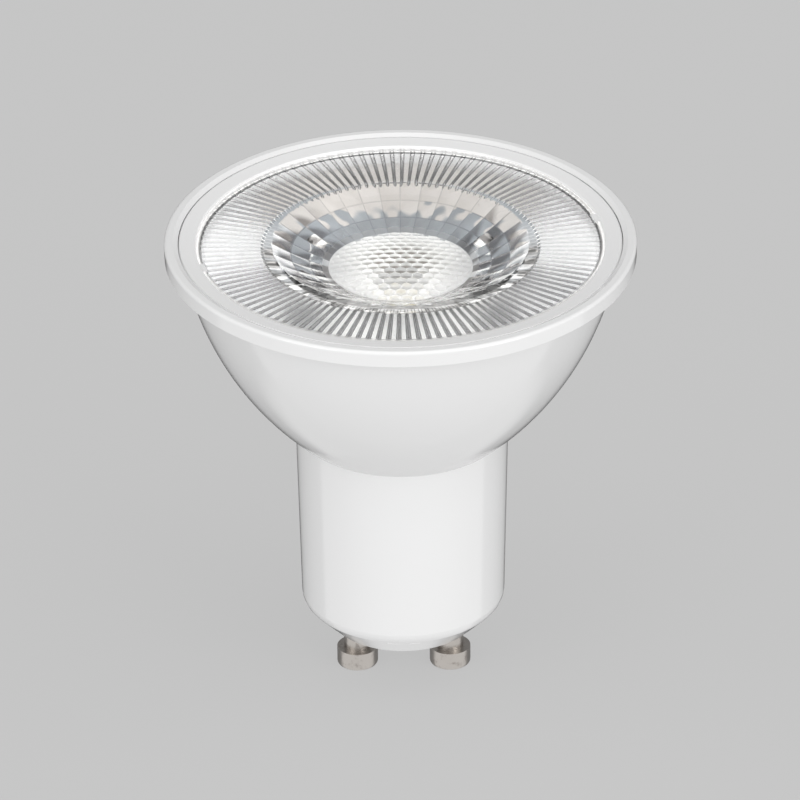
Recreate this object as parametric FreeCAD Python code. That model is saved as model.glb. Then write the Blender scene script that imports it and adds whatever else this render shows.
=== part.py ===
import FreeCAD, Part
import math
import os

# Spotlight bulb with a twist-lock pin base, a dished plastic body and a clear moulded lens.
# The origin is midway between the two pins, at the level of their ends. +Z points out of the
# lit face, and the two pins stand side by side along X.

# Heights of the body, from the pin ends up
pin_projection = 5.95
neck_length = 23.5
bowl_height = 20.45
rim_height = 2.1

# Outer form of the body
rim_overhang = 1.95
rim_draft = 0.05
rim_under_rise = 0.35
rim_edge_round = 0.35
rim_land = 0.95
rim_inner_drop = 0.25
bowl_top_radius = 23.05
bowl_curve_radius = 36.0
neck_top_radius = 11.35
neck_end_radius = 10.88
end_chamfer = 3.0
chamfer_round = 1.6

# Walls of the body
mouth_wall = 1.4
bowl_wall = 1.2
neck_wall = 1.5
base_wall = 2.2

# Clearances between pieces
ring_gap = 0.08
lens_gap = 0.08
cup_gap = 0.15
cup_top_gap = 0.1
pin_gap = 0.04
board_gap = 0.15
phosphor_gap = 0.02
screw_gap = 0.1
screw_thread_gap = 0.02
wire_gap = 0.15

# Retaining ring
ring_flange_width = 1.8
ring_flange = 1.1
ring_slope = 0.28
ring_skirt_length = 1.65
ring_edge_chamfer = 0.12
bead_height = 0.12
bead_length = 0.5
seat_width = 0.6
lug_angles = (14.0, 194.0)
lug_width = 1.7
lug_reach = 0.45
lug_thickness = 0.5

# Lens
lens_edge_thickness = 1.2
rib_count = 120
rib_depth = 0.5
rib_open_share = 0.46
rib_inner_margin = 0.45
rib_outer_margin = 0.05
recess_columns = 36
recess_row_count = 3
recess_radius = 13.6
recess_depth = 2.9
recess_bulge = 0.18
dome_radius = 7.6
dome_height = 0.75
lens_wall = 1.25
collimator_radius = 4.2
collimator_mouth_radius = 3.2
cavity_top_radius = 2.7
cavity_depth = 2.6
cavity_crown = 0.7
led_air_gap = 0.3
leg_count = 3
leg_edge_distance = 3.0
leg_radius = 1.0
leg_first_angle = 30.0

# Aluminium cup behind the lens
cup_wall = 0.8
cup_floor_wall = 1.2
light_depth = 10.3

# Light source
led_board_radius = 13.5
led_board_thickness = 1.2
emitter_size = 5.0
emitter_height = 0.75
emitter_corner = 0.4
phosphor_radius = 2.1
phosphor_depth = 0.35
phosphor_crown = 0.15
screw_edge_distance = 3.0
screw_radius = 1.15
screw_length = 5.0
screw_head_radius = 2.1
screw_head_height = 1.1
screw_slot_width = 0.5
screw_slot_depth = 0.5

# Contact pins
pin_pitch = 10.0
pin_head_radius = 2.2
pin_head_height = 2.1
pin_head_round = 0.4
pin_shank_radius = 1.44
pin_collar_radius = 2.0
pin_collar_height = 0.7
pin_tail_radius = 0.9
pin_tail_length = 1.4

# Driver board, upright between the pins
driver_board_thickness = 1.0
driver_board_side_room = 0.88
driver_board_top_room = 1.4
rail_width = 1.1
rail_depth = 1.5
rail_height = 16.0

# Parts on the driver board
smoothing_can_room = 0.88
smoothing_can_length = 12.0
smoothing_can_start = 14.0
input_can_radius = 3.15
input_can_length = 7.5
input_can_start = 5.2
can_edge_chamfer = 0.4
can_groove_height = 1.2
can_groove_depth = 0.35
can_lead_radius = 0.3
can_lead_drop = 0.9
inductor_radius = 3.6
inductor_height = 6.4
inductor_flange = 1.0
inductor_waist = 1.9
winding_room = 0.4
winding_gap = 0.02
inductor_centre = 23.2
resistor_radius = 1.3
resistor_length = 6.0
resistor_start = 4.5
resistor_edge_room = 3.3
resistor_end_radius = 1.5
resistor_end_length = 1.2
resistor_lead_rise = 1.4
component_lead_radius = 0.35
rectifier_size = (4.7, 3.8, 1.5)
rectifier_edge_room = 7.0
rectifier_start = 7.2
chip_size = (3.9, 4.9, 1.5)
chip_edge_room = 5.3
chip_start = 13.6
foot_width = 0.5
foot_thickness = 0.25
foot_reach = 0.9

# Wires
wire_radius = 0.6
wire_bend_radius = 1.2
led_wire_edge_room = 2.1
led_wire_start = 25.0
led_wire_landing = 1.4
pin_wire_rise = 1.7
wire_slot_extra = 0.5

# Heights and radii that follow from the sizes above
face_z = pin_projection
neck_top_z = face_z + neck_length
bowl_top_z = neck_top_z + bowl_height
rim_top_z = bowl_top_z + rim_height
inner_floor_z = face_z + base_wall

rim_radius = bowl_top_radius + rim_overhang
rim_inner_radius = rim_radius - rim_land
skirt_bore_radius = bowl_top_radius - mouth_wall
ring_inner_radius = skirt_bore_radius
ring_radius = ring_inner_radius + ring_flange_width
ring_bore_radius = ring_radius + ring_gap
ring_top_z = rim_top_z - rim_inner_drop
ledge_z = ring_top_z - ring_flange
skirt_radius = ring_inner_radius - ring_gap
skirt_end_z = ledge_z - ring_skirt_length
bead_z = (ledge_z + skirt_end_z) / 2

lens_radius = ring_inner_radius - lens_gap
lens_top_z = ring_top_z - ring_slope
lens_seat_z = lens_top_z - lens_edge_thickness
seat_radius = ring_inner_radius - seat_width
recess_end_z = lens_top_z - recess_depth

cup_floor_z = lens_seat_z - light_depth
cup_under_z = cup_floor_z - cup_floor_wall
led_board_z = cup_floor_z
led_board_top_z = led_board_z + led_board_thickness
emitter_top_z = led_board_top_z + emitter_height
collimator_z = emitter_top_z + led_air_gap
screw_circle_radius = led_board_radius - screw_edge_distance
leg_circle_radius = led_board_radius - leg_edge_distance

neck_inner_radius = min(neck_end_radius, neck_top_radius) - neck_wall
driver_board_z = inner_floor_z + board_gap
driver_board_top_z = cup_under_z - driver_board_top_room
driver_face = driver_board_thickness / 2
driver_half_width = neck_inner_radius - driver_board_side_room
smoothing_can_radius = (neck_inner_radius - driver_face - smoothing_can_room) / 2
resistor_side = driver_half_width - resistor_edge_room
led_wire_side = driver_half_width - led_wire_edge_room


def curve_centre(lower, upper, radius):
    """Centre, as (r, z), of the arc that bulges away from the axis between two points."""
    chord_r = upper[0] - lower[0]
    chord_z = upper[1] - lower[1]
    chord = math.hypot(chord_r, chord_z)
    depth = math.sqrt(radius ** 2 - (chord / 2) ** 2)
    middle_r = (lower[0] + upper[0]) / 2
    middle_z = (lower[1] + upper[1]) / 2
    return (middle_r - depth * chord_z / chord, middle_z + depth * chord_r / chord)


bowl_centre = curve_centre(
    (neck_top_radius, neck_top_z), (bowl_top_radius, bowl_top_z), bowl_curve_radius)


def bowl_radius_at(height, inset):
    """Radius of the bowl's curve at a height, moved inwards by the inset."""
    rise = bowl_centre[1] - height
    return bowl_centre[0] + math.sqrt((bowl_curve_radius - inset) ** 2 - rise ** 2)


def bowl_height_at(radius, inset):
    """Height at which the bowl's curve, moved inwards by the inset, has a radius."""
    reach = radius - bowl_centre[0]
    return bowl_centre[1] - math.sqrt((bowl_curve_radius - inset) ** 2 - reach ** 2)


def point(radius, height):
    """Point of a profile, in the plane that is turned about the Z axis."""
    return FreeCAD.Vector(radius, 0, height)


def bowl_arc(low_z, high_z, inset):
    """Arc of the bowl's curve between two heights, moved inwards by the inset."""
    heights = (low_z, (low_z + high_z) / 2, high_z)
    ends = [point(bowl_radius_at(z, inset), z) for z in heights]
    return Part.Arc(*ends).toShape()


def rounded_path(corners):
    """Edges through corners (point, rounding), straight with a tangent arc at each rounding."""
    edges = []
    here = corners[0][0]
    for index in range(1, len(corners)):
        corner, rounding = corners[index]
        if rounding > 0:
            back = (corners[index - 1][0] - corner).normalize()
            ahead = (corners[index + 1][0] - corner).normalize()
            half_angle = back.getAngle(ahead) / 2
            setback = rounding / math.tan(half_angle)
            first = corner + back * setback
            last = corner + ahead * setback
            inward = (back + ahead).normalize()
            middle = corner + inward * (rounding / math.sin(half_angle) - rounding)
            edges.append(Part.LineSegment(here, first).toShape())
            edges.append(Part.Arc(first, middle, last).toShape())
            here = last
        else:
            edges.append(Part.LineSegment(here, corner).toShape())
            here = corner
    return edges


def sphere_radius(radius, height):
    """Radius of the sphere whose cap has a rim radius and a height."""
    return (radius ** 2 + height ** 2) / (2 * height)


def crown_edge(radius, rim_z, crown_z):
    """Profile arc from the rim of a dome to its crown on the Z axis."""
    sphere = sphere_radius(radius, crown_z - rim_z)
    half_sweep = math.atan2(radius, sphere - (crown_z - rim_z)) / 2
    middle = point(sphere * math.sin(half_sweep), crown_z - sphere * (1 - math.cos(half_sweep)))
    return Part.Arc(point(radius, rim_z), middle, point(0, crown_z)).toShape()


def turned(edges):
    """Solid made by turning a closed profile once about the Z axis."""
    wire = Part.Wire(Part.__sortEdges__(edges))
    solid = Part.Face(wire).revolve(FreeCAD.Vector(0, 0, 0), FreeCAD.Vector(0, 0, 1), 360)
    return Part.Solid(solid) if solid.ShapeType == "Shell" else solid


def turned_corners(corners):
    """Solid turned from a closed outline of (radius, height, rounding) corners."""
    path = [(point(radius, height), rounding) for radius, height, rounding in corners]
    return turned(rounded_path(path + [path[0]]))


def cylinder(radius, height, x, y, z):
    """Upright cylinder that stands on z."""
    return Part.makeCylinder(radius, height, FreeCAD.Vector(x, y, z))


def box(low, high):
    """Box between its lowest and highest corner."""
    size = [top - bottom for bottom, top in zip(low, high)]
    return Part.makeBox(*size, FreeCAD.Vector(*low))


def rotated(shape, degrees):
    """Copy of a shape turned about the Z axis."""
    copy = shape.copy()
    copy.rotate(FreeCAD.Vector(0, 0, 0), FreeCAD.Vector(0, 0, 1), degrees)
    return copy


def wire_along(points, radius, bend_radius):
    """Round wire through points, with a tangent bend at each inner one, or a mitre at radius 0."""
    corners = [(FreeCAD.Vector(*place), bend_radius) for place in points]
    corners[0] = (corners[0][0], 0)
    corners[-1] = (corners[-1][0], 0)
    path = Part.Wire(rounded_path(corners))
    section = Part.Circle(corners[0][0], corners[1][0] - corners[0][0], radius)
    mitred_corners = 1
    return path.makePipeShell([Part.Wire(section.toShape())], True, False, mitred_corners)


def make_housing():
    """Plastic body: rim, dished bowl, neck and pin base in one moulding, open at the rim."""
    end_radius = neck_end_radius - end_chamfer
    mouth_z = skirt_end_z - cup_top_gap
    outline = rounded_path([
        (point(0, face_z), 0),
        (point(end_radius, face_z), 0),
        (point(neck_end_radius, face_z + end_chamfer), chamfer_round),
        (point(neck_top_radius, neck_top_z), 0),
    ])
    outline.append(bowl_arc(neck_top_z, bowl_top_z, 0))
    outline += rounded_path([
        (point(bowl_top_radius, bowl_top_z), 0),
        (point(rim_radius - rim_draft, bowl_top_z + rim_under_rise), 0),
        (point(rim_radius, rim_top_z), rim_edge_round),
        (point(rim_inner_radius, rim_top_z), 0),
        (point(ring_bore_radius, ring_top_z), 0),
        (point(ring_bore_radius, ledge_z), 0),
        (point(skirt_bore_radius, ledge_z), 0),
        (point(skirt_bore_radius, mouth_z), 0),
        (point(bowl_radius_at(mouth_z, bowl_wall), mouth_z), 0),
    ])
    neck_inner_top = neck_top_radius - neck_wall
    throat_z = bowl_height_at(neck_inner_top, bowl_wall)
    outline.append(bowl_arc(throat_z, mouth_z, bowl_wall))
    outline += rounded_path([
        (point(neck_inner_top, throat_z), 0),
        (point(neck_end_radius - neck_wall, inner_floor_z), 0),
        (point(0, inner_floor_z), 0),
        (point(0, face_z), 0),
    ])
    body = turned(outline)

    groove_reach = skirt_bore_radius + bead_height
    groove = turned_corners([
        (skirt_bore_radius - bead_height, bead_z - bead_length, 0),
        (skirt_bore_radius, bead_z - bead_length, 0),
        (groove_reach, bead_z, 0),
        (skirt_bore_radius, bead_z + bead_length, 0),
        (skirt_bore_radius - bead_height, bead_z + bead_length, 0),
    ])
    pin_holes = [
        cylinder(pin_shank_radius + pin_gap, base_wall, side * pin_pitch / 2, 0, face_z)
        for side in (-1, 1)
    ]
    return body.fuse(make_rails()).removeSplitter().cut([groove] + pin_holes)


def make_rails():
    """Four upright ribs inside the neck that hold the edges of the driver board."""
    slot_half = driver_face + board_gap
    rail_start = driver_half_width + board_gap - rail_depth
    neck_core = cylinder(neck_inner_radius + neck_wall / 2, rail_height, 0, 0, inner_floor_z)
    rails = []
    for side in (-1, 1):
        for edge in (-1, 1):
            x_ends = sorted((edge * slot_half, edge * (slot_half + rail_width)))
            y_ends = sorted((side * rail_start, side * neck_end_radius))
            rail = box((x_ends[0], y_ends[0], inner_floor_z),
                       (x_ends[1], y_ends[1], inner_floor_z + rail_height))
            rails.append(rail.common(neck_core))
    return rails


def make_retaining_ring():
    """White ring that snaps into the rim and carries the lens on its inner seat."""
    bead_tip = skirt_radius + bead_height
    ring = turned_corners([
        (seat_radius, skirt_end_z, 0),
        (skirt_radius, skirt_end_z, 0),
        (skirt_radius, bead_z - bead_length, 0),
        (bead_tip, bead_z, 0),
        (skirt_radius, bead_z + bead_length, 0),
        (skirt_radius, ledge_z, 0),
        (ring_radius, ledge_z, 0),
        (ring_radius, ring_top_z - ring_edge_chamfer, 0),
        (ring_radius - ring_edge_chamfer, ring_top_z, 0),
        (ring_inner_radius + ring_edge_chamfer, lens_top_z + ring_edge_chamfer, 0),
        (ring_inner_radius, lens_top_z, 0),
        (ring_inner_radius, lens_seat_z, 0),
        (seat_radius, lens_seat_z, 0),
    ])
    lugs = [rotated(make_lug(0), angle) for angle in lug_angles]
    return ring.fuse(lugs).removeSplitter()


def make_lug(clearance):
    """Small lug of the ring that reaches over the lens edge, or its notch with a clearance."""
    half_width = lug_width / 2 + clearance
    low = (lens_radius - lug_reach - clearance, -half_width, lens_top_z - lug_thickness - clearance)
    high = (ring_inner_radius + lens_gap, half_width, lens_top_z)
    return box(low, high)


def ring_of_points(radius, height, count):
    """Corners of a regular polygon whose flats lie at the radius."""
    reach = radius / math.cos(math.pi / count)
    places = []
    for index in range(count):
        angle = 2 * math.pi * (index + 0.5) / count
        places.append(FreeCAD.Vector(reach * math.cos(angle), reach * math.sin(angle), height))
    return places


def make_recess():
    """Hollow in the lens: three rows of flat facets that step down to the central dome."""
    rings = []
    for row in range(recess_row_count + 1):
        share = row / recess_row_count
        radius = recess_radius + (dome_radius - recess_radius) * share
        depth = recess_depth * share + recess_bulge * math.sin(math.pi * share)
        places = ring_of_points(radius, lens_top_z - depth, recess_columns)
        rings.append(Part.makePolygon(places + [places[0]]))
    frusta = [Part.makeLoft(list(pair), True, True) for pair in zip(rings, rings[1:])]
    bowl_of_facets = frusta[0].fuse(frusta[1:])
    sphere = sphere_radius(dome_radius, dome_height)
    crown_z = recess_end_z + dome_height
    crown = Part.makeSphere(sphere, FreeCAD.Vector(0, 0, crown_z - sphere))
    return bowl_of_facets.cut(crown)


def make_rib_grooves():
    """Narrow grooves under the lens that leave a radial rib between each pair."""
    inner = recess_radius + rib_inner_margin
    outer = seat_radius - rib_outer_margin
    half_angle = math.pi / rib_count * rib_open_share
    top_z = lens_seat_z + rib_depth
    wires = []
    for radius in (inner, outer):
        half_width = radius * math.tan(half_angle)
        left = FreeCAD.Vector(radius, -half_width, lens_seat_z)
        right = FreeCAD.Vector(radius, half_width, lens_seat_z)
        ridge = FreeCAD.Vector(radius, 0, top_z)
        wires.append(Part.makePolygon([left, right, ridge, left]))
    groove = Part.makeLoft(wires, True, True)
    return [rotated(groove, 360 / rib_count * index) for index in range(rib_count)]


def make_lens():
    """Clear moulded lens: ribbed disc, faceted recess, dome and a cone that takes in the light."""
    cone_top_radius = dome_radius + lens_wall / 2
    cone_top_z = recess_end_z - lens_wall
    cavity_z = collimator_z + cavity_depth
    crown_z = cavity_z + cavity_crown
    outline = rounded_path([
        (point(0, lens_top_z), 0),
        (point(lens_radius, lens_top_z), 0),
        (point(lens_radius, lens_seat_z), 0),
        (point(recess_radius + rib_inner_margin / 2, lens_seat_z), 0),
        (point(cone_top_radius, cone_top_z), 0),
        (point(collimator_radius, collimator_z), 0),
        (point(collimator_mouth_radius, collimator_z), 0),
        (point(cavity_top_radius, cavity_z), 0),
    ])
    outline.append(crown_edge(cavity_top_radius, cavity_z, crown_z))
    outline.append(Part.LineSegment(point(0, crown_z), point(0, lens_top_z)).toShape())
    disc = turned(outline)

    legs = []
    for index in range(leg_count):
        angle = math.radians(leg_first_angle + 360 / leg_count * index)
        x = leg_circle_radius * math.cos(angle)
        y = leg_circle_radius * math.sin(angle)
        legs.append(cylinder(leg_radius, lens_seat_z - led_board_top_z, x, y, led_board_top_z))
    notches = [rotated(make_lug(lens_gap), angle) for angle in lug_angles]
    body = disc.fuse(legs)
    return body.cut([make_recess()] + notches + make_rib_grooves())


def make_heat_sink_cup():
    """Pressed aluminium cup that lines the bowl and carries the light source on its floor."""
    outer_inset = bowl_wall + cup_gap
    inner_inset = outer_inset + cup_wall
    top_z = skirt_end_z - cup_top_gap
    outer_low = bowl_radius_at(cup_under_z, outer_inset)
    inner_low = bowl_radius_at(cup_floor_z, inner_inset)
    outline = [
        Part.LineSegment(point(0, cup_under_z), point(outer_low, cup_under_z)).toShape(),
        bowl_arc(cup_under_z, top_z, outer_inset),
        Part.LineSegment(point(bowl_radius_at(top_z, outer_inset), top_z),
                         point(bowl_radius_at(top_z, inner_inset), top_z)).toShape(),
        bowl_arc(cup_floor_z, top_z, inner_inset),
        Part.LineSegment(point(inner_low, cup_floor_z), point(0, cup_floor_z)).toShape(),
        Part.LineSegment(point(0, cup_floor_z), point(0, cup_under_z)).toShape(),
    ]
    cup = turned(outline)
    holes = wire_slots(cup_under_z, cup_floor_wall)
    holes += screw_holes(cup_under_z, cup_floor_wall, 0)
    return cup.cut(holes)


def wire_slots(low_z, height):
    """Two holes that let the light source's wires through."""
    radius = wire_radius + wire_gap + wire_slot_extra
    x = driver_face + wire_radius
    return [cylinder(radius, height, x, side * led_wire_side, low_z) for side in (-1, 1)]


def screw_holes(low_z, height, clearance):
    """Two holes for the screws of the light source's board."""
    radius = screw_radius + clearance
    return [cylinder(radius, height, side * screw_circle_radius, 0, low_z) for side in (-1, 1)]


def make_led_board():
    """Round metal-core board that the emitter is soldered to."""
    board = cylinder(led_board_radius, led_board_thickness, 0, 0, led_board_z)
    holes = wire_slots(led_board_z, led_board_thickness)
    holes += screw_holes(led_board_z, led_board_thickness, screw_gap)
    return board.cut(holes)


def make_led_emitter():
    """White square package with a round well for its yellow filling."""
    half = emitter_size / 2
    package = box((-half, -half, led_board_top_z), (half, half, emitter_top_z))
    upright = [edge for edge in package.Edges if abs(edge.tangentAt(0).z) > 0.5]
    package = package.makeFillet(emitter_corner, upright)
    well_z = emitter_top_z - phosphor_depth
    return package.cut(cylinder(phosphor_radius, phosphor_depth, 0, 0, well_z))


def make_led_phosphor():
    """Yellow filling of the emitter, slightly crowned."""
    radius = phosphor_radius - phosphor_gap
    low_z = emitter_top_z - phosphor_depth
    crown_z = emitter_top_z + phosphor_crown
    outline = rounded_path([
        (point(0, low_z), 0),
        (point(radius, low_z), 0),
        (point(radius, emitter_top_z), 0),
    ])
    outline.append(crown_edge(radius, emitter_top_z, crown_z))
    outline.append(Part.LineSegment(point(0, crown_z), point(0, low_z)).toShape())
    return turned(outline)


def make_board_screw(side):
    """Screw with a slotted round head that holds the light source's board to the cup."""
    x = side * screw_circle_radius
    head_z = led_board_top_z
    head_top_z = head_z + screw_head_height
    bevel = screw_head_height / 2
    shank_radius = screw_radius - screw_thread_gap
    screw = turned_corners([
        (0, head_z - screw_length, 0),
        (shank_radius, head_z - screw_length, 0),
        (shank_radius, head_z, 0),
        (screw_head_radius, head_z, 0),
        (screw_head_radius, head_top_z - bevel, 0),
        (screw_head_radius - bevel, head_top_z, 0),
        (0, head_top_z, 0),
    ])
    slot_half = screw_slot_width / 2
    slot = box((-screw_head_radius, -slot_half, head_top_z - screw_slot_depth),
               (screw_head_radius, slot_half, head_top_z))
    screw = screw.cut(slot)
    screw.translate(FreeCAD.Vector(x, 0, 0))
    return screw


def make_contact_pin(side):
    """Headed metal pin, riveted through the base, with a tail for its wire."""
    collar_z = inner_floor_z + pin_collar_height
    pin = turned_corners([
        (0, 0, 0),
        (pin_head_radius, 0, pin_head_round),
        (pin_head_radius, pin_head_height, 0),
        (pin_shank_radius, pin_head_height, 0),
        (pin_shank_radius, inner_floor_z, 0),
        (pin_collar_radius, inner_floor_z, 0),
        (pin_collar_radius, collar_z, 0),
        (pin_tail_radius, collar_z, 0),
        (pin_tail_radius, collar_z + pin_tail_length, 0),
        (0, collar_z + pin_tail_length, 0),
    ])
    pin.translate(FreeCAD.Vector(side * pin_pitch / 2, 0, 0))
    return pin


def make_driver_board():
    """Upright circuit board that slides into the rails of the neck."""
    return box((-driver_face, -driver_half_width, driver_board_z),
               (driver_face, driver_half_width, driver_board_top_z))


def make_can(radius, length, start):
    """Can-shaped capacitor that lies against the board with two bent leads at its foot."""
    low_z = driver_board_z + start
    x = driver_face + radius
    groove_z = low_z + can_groove_height
    can = turned_corners([
        (0, low_z, 0),
        (radius - can_edge_chamfer, low_z, 0),
        (radius, low_z + can_edge_chamfer, 0),
        (radius, groove_z, 0),
        (radius - can_groove_depth, groove_z + can_groove_depth, 0),
        (radius, groove_z + 2 * can_groove_depth, 0),
        (radius, low_z + length - can_edge_chamfer, 0),
        (radius - can_edge_chamfer, low_z + length, 0),
        (0, low_z + length, 0),
    ])
    can.translate(FreeCAD.Vector(x, 0, 0))
    leads = []
    for side in (-1, 1):
        y = side * radius / 2
        leads.append(wire_along([
            (x, y, low_z + can_groove_depth),
            (x, y, low_z - can_lead_drop),
            (driver_face, y, low_z - can_lead_drop),
        ], can_lead_radius, 0))
    return can.fuse(leads)


def laid_on_back_face(shape):
    """Copy of a shape that stood on its end, laid on the board's back face at the inductor."""
    copy = shape.copy()
    copy.rotate(FreeCAD.Vector(0, 0, 0), FreeCAD.Vector(0, 1, 0), -90)
    copy.translate(FreeCAD.Vector(-driver_face, 0, driver_board_z + inductor_centre))
    return copy


def make_power_inductor():
    """Drum-shaped core that stands off the board on its lower flange."""
    waist = inductor_radius - inductor_waist
    drum = turned_corners([
        (0, 0, 0),
        (inductor_radius, 0, 0),
        (inductor_radius, inductor_flange, 0),
        (waist, inductor_flange, 0),
        (waist, inductor_height - inductor_flange, 0),
        (inductor_radius, inductor_height - inductor_flange, 0),
        (inductor_radius, inductor_height, 0),
        (0, inductor_height, 0),
    ])
    return laid_on_back_face(drum)


def make_inductor_winding():
    """Copper winding that fills the drum's waist."""
    inner = inductor_radius - inductor_waist + winding_gap
    outer = inductor_radius - winding_room
    low = inductor_flange + winding_gap
    high = inductor_height - inductor_flange - winding_gap
    return laid_on_back_face(turned_corners([
        (inner, low, 0),
        (outer, low, 0),
        (outer, high, 0),
        (inner, high, 0),
    ]))


def make_fuse_resistor():
    """Wire-ended resistor that serves as the fuse, with thick end caps and bent leads."""
    x = -(driver_face + resistor_end_radius)
    low_z = driver_board_z + resistor_start
    high_z = low_z + resistor_length
    body = turned_corners([
        (0, low_z, 0),
        (resistor_end_radius, low_z, 0),
        (resistor_end_radius, low_z + resistor_end_length, 0),
        (resistor_radius, low_z + resistor_end_length, 0),
        (resistor_radius, high_z - resistor_end_length, 0),
        (resistor_end_radius, high_z - resistor_end_length, 0),
        (resistor_end_radius, high_z, 0),
        (0, high_z, 0),
    ])
    body.translate(FreeCAD.Vector(x, resistor_side, 0))
    leads = []
    for end_z, outward in ((low_z, -1), (high_z, 1)):
        turn_z = end_z + outward * resistor_lead_rise
        leads.append(wire_along([
            (x, resistor_side, end_z - outward * resistor_end_length / 2),
            (x, resistor_side, turn_z),
            (-driver_face, resistor_side, turn_z),
        ], component_lead_radius, 0))
    return body.fuse(leads)


def make_flat_package(size, edge_room, start, feet_per_side):
    """Moulded package flat on the board, with bent feet along its two upright sides."""
    width, height, thickness = size
    middle = edge_room - driver_half_width
    y_low = middle - width / 2
    z_low = driver_board_z + start
    body = box((-driver_face - thickness, y_low, z_low),
               (-driver_face - foot_thickness, y_low + width, z_low + height))
    feet = []
    spacing = height / feet_per_side
    for side in (-1, 1):
        edge = middle + side * width / 2
        for index in range(feet_per_side):
            z = z_low + spacing * (index + 0.5) - foot_width / 2
            y_ends = sorted((edge - side * foot_thickness, edge + side * foot_reach))
            feet.append(box((-driver_face - foot_thickness, y_ends[0], z),
                            (-driver_face, y_ends[1], z + foot_width)))
            knee = sorted((edge - side * foot_thickness, edge + side * foot_thickness))
            feet.append(box((-driver_face - thickness / 2, knee[0], z),
                            (-driver_face, knee[1], z + foot_width)))
    return body.fuse(feet).removeSplitter()


def make_pin_lead(side):
    """Short wire from a pin's tail to the driver board."""
    tail_z = inner_floor_z + pin_collar_height + pin_tail_length
    x = side * pin_pitch / 2
    return wire_along([
        (x, 0, tail_z),
        (x, 0, tail_z + pin_wire_rise),
        (side * driver_face, 0, tail_z + pin_wire_rise),
    ], wire_radius, wire_bend_radius)


def make_led_lead(side):
    """Wire from the driver board up through the cup to a pad beside the emitter."""
    x = driver_face + wire_radius
    y = side * led_wire_side
    landing_z = led_board_top_z + wire_radius
    reach = led_wire_landing + wire_bend_radius
    return wire_along([
        (x, y, driver_board_z + led_wire_start),
        (x, y, landing_z),
        (x, y + side * reach, landing_z),
    ], wire_radius, wire_bend_radius)


nodes = {
    "housing": make_housing(),
    "retaining_ring": make_retaining_ring(),
    "lens": make_lens(),
    "heat_sink_cup": make_heat_sink_cup(),
    "led_board": make_led_board(),
    "led_emitter": make_led_emitter(),
    "led_phosphor": make_led_phosphor(),
    "driver_board": make_driver_board(),
    "smoothing_capacitor": make_can(smoothing_can_radius, smoothing_can_length, smoothing_can_start),
    "input_capacitor": make_can(input_can_radius, input_can_length, input_can_start),
    "power_inductor": make_power_inductor(),
    "inductor_winding": make_inductor_winding(),
    "fuse_resistor": make_fuse_resistor(),
    "bridge_rectifier": make_flat_package(rectifier_size, rectifier_edge_room, rectifier_start, 2),
    "driver_chip": make_flat_package(chip_size, chip_edge_room, chip_start, 4),
}
for side_name, side in (("left", -1), ("right", 1)):
    nodes["contact_pin_" + side_name] = make_contact_pin(side)
    nodes["pin_lead_" + side_name] = make_pin_lead(side)
    nodes["board_screw_" + side_name] = make_board_screw(side)
for pole, side in (("negative", -1), ("positive", 1)):
    nodes["led_lead_" + pole] = make_led_lead(side)

os.makedirs("parts", exist_ok=True)
for name, shape in nodes.items():
    solids = shape.Solids
    if len(solids) != 1 or not shape.isValid():
        raise ValueError(name + " is not one valid solid")
    solids[0].exportStep("parts/" + name + ".step")
    print(name, round(solids[0].Volume, 1))
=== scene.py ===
import math
import random

import bmesh
import bpy
from mathutils import Matrix, Vector


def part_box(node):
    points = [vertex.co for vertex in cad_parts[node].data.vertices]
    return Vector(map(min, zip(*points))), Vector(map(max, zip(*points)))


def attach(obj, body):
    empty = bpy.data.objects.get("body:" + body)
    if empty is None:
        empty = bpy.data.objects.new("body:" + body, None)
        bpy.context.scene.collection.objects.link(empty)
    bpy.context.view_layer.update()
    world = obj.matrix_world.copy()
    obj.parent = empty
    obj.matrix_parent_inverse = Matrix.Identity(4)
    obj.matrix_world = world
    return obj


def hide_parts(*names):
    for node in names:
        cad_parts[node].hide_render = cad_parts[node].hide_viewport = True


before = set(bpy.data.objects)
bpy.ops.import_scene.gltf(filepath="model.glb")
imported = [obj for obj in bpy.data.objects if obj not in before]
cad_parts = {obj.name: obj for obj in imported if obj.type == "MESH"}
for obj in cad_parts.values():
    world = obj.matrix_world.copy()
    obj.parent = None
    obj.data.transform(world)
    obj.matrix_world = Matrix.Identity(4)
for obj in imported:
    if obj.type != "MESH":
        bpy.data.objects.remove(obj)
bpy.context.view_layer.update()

millimetre = 0.001
full_turn = 2 * math.pi


def rgb(red, green, blue):
    """Opaque colour."""
    return (red, green, blue, 1.0)


# View of the photograph: place, pitch and roll of the camera, and its focal length in pixels
camera_place = Vector((-0.00019, -0.87998, 0.52534))
camera_pitch = math.radians(29.256)
camera_roll = math.radians(-0.48)
focal_pixels = 9460.3
image_pixels = 800
sensor_width = 36.0

# Clear lens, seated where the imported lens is
lens_low, lens_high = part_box("lens")
lens_radius = lens_high.x
lens_top = lens_high.z
lens_foot = lens_low.z
edge_thickness = 1.2 * millimetre
edge_bevel = 0.1 * millimetre
lens_seat = lens_top - edge_thickness
recess_radius = 13.6 * millimetre
recess_depth = 2.9 * millimetre
recess_bulge = 0.18 * millimetre
recess_rows = 3
recess_columns = 36
dome_radius = 7.6 * millimetre
dome_height = 0.75 * millimetre
lens_wall = 1.25 * millimetre
cone_top_radius = dome_radius + lens_wall / 2
cone_radius = 4.2 * millimetre
cone_foot = lens_foot + 1.05 * millimetre
mouth_radius = 3.2 * millimetre
cavity_radius = 2.7 * millimetre
cavity_depth = 2.6 * millimetre
cavity_crown = 0.7 * millimetre
cavity_rings = 12
sharp_angle = math.radians(8.5)
merge_distance = 0.001 * millimetre

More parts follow.
